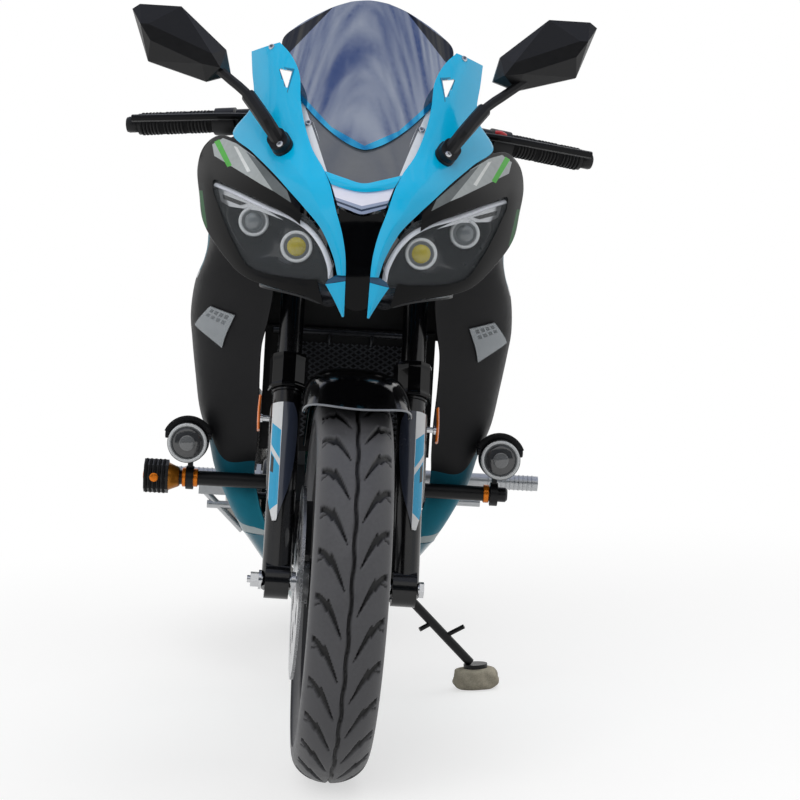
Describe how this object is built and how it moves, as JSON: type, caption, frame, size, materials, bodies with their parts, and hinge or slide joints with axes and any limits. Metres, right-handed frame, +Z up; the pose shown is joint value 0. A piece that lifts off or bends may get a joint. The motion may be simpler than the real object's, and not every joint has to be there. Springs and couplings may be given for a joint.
{
  "type": "motorcycle",
  "caption": "Faired sport motorcycle leaning on its side stand, with twin headlamps, screen, mirrors, crash bars and fog lamps; wheels roll and the fork steers.",
  "frame": {"origin": "on the floor, under the middle of the part's box", "axes": "+Z up, the motorcycle faces -Y, and its left side, with the side stand, is towards +X"},
  "size_m": [0.7556, 1.9866, 1.1773],
  "materials": {
    "black_frame": "satin",
    "engine_casting": "cast satin",
    "radiator_black": "satin",
    "exhaust_steel": "brushed",
    "plated_steel": "bright",
    "disc_steel": "ground",
    "shock": "gloss",
    "cyan_paint": "gloss",
    "seat_cover": "matte grained",
    "red_lamp": "gloss",
    "black_plastic": "satin",
    "gloss_black": "gloss",
    "white_lamp": "gloss",
    "lamp_lens": "clear",
    "lamp_bowl": "satin",
    "smoked_screen": "gloss",
    "grey_panel": "gloss",
    "teal_plastic": "gloss",
    "clear_lamp": "gloss",
    "black_tube": "powder coat",
    "fog_black": "satin",
    "bare_alloy": "satin",
    "caliper_paint": "satin",
    "yoke_alloy": "anodised",
    "fork_black": "gloss",
    "guard_plastic": "gloss",
    "wheel_black": "satin",
    "tyre_rubber": "matte",
    "stone": "rough"
  },
  "bodies": {
    "chassis": {"frame": "black_frame", "engine": "engine_casting", "radiator": "radiator_black", "exhaust": "exhaust_steel", "swingarm": "black_frame", "rear_axle": "plated_steel", "rear_shock": "shock", "chain": "plated_steel", "fuel_tank": "cyan_paint", "rider_seat": "seat_cover", "pillion_seat": "seat_cover", "tail_cowl": "cyan_paint", "tail_lamp": "red_lamp", "rear_mudguard": "black_plastic", "nose_cowl": "cyan_paint", "nose_panel": "gloss_black", "running_lamp": "white_lamp", "headlamp_lenses": "lamp_lens", "headlamp_bowls": "lamp_bowl", "headlamp_shells": "gloss_black", "chin_panel": "black_plastic", "windscreen": "smoked_screen", "screen_flange": "grey_panel", "cockpit_panel": "black_plastic", "instrument": "gloss_black", "side_fairing_left": "black_plastic", "side_fairing_right": "black_plastic", "belly_pan": "teal_plastic", "front_indicators": "clear_lamp", "mirrors": "black_plastic", "crash_bars": "black_tube", "fog_lamps": "fog_black", "footrests": "bare_alloy", "rear_caliper": "caliper_paint", "stand_stone": "stone"},
    "steering": {"yokes": "yoke_alloy", "fork_legs": "fork_black", "front_mudguard": "gloss_black", "fork_guards": "guard_plastic", "handlebars": "black_tube", "control_levers": "bare_alloy", "front_axle": "plated_steel", "front_caliper": "caliper_paint"},
    "front_wheel": {"front_tyre": "tyre_rubber", "front_rim": "wheel_black", "front_disc": "disc_steel"},
    "rear_wheel": {"rear_tyre": "tyre_rubber", "rear_rim": "wheel_black", "rear_disc": "disc_steel", "rear_sprocket": "plated_steel"},
    "side_stand": {"side_stand": "black_frame"}
  },
  "joints": [
    {"name": "steering_turn", "type": "hinge", "parent": "chassis", "child": "steering", "pos_m": [-0.01656, -0.41762, 0.80594], "axis": [0.0947, 0.4226, 0.9013], "range_deg": [-29.5, 24.5]},
    {"name": "front_wheel_spin", "type": "hinge", "parent": "steering", "child": "front_wheel", "pos_m": [-0.06896, -0.7006, 0.29158], "axis": [0.9916, 0.0395, -0.1228], "continuous": true},
    {"name": "rear_wheel_spin", "type": "hinge", "parent": "chassis", "child": "rear_wheel", "pos_m": [-0.06841, 0.67937, 0.31265], "axis": [0.9945, 0, -0.1045], "continuous": true},
    {"name": "side_stand_fold", "type": "hinge", "parent": "chassis", "child": "side_stand", "pos_m": [0.04545, -0.10262, 0.18103], "axis": [0.9703, 0, 0.2419], "range_deg": [0, 110]}
  ]
}
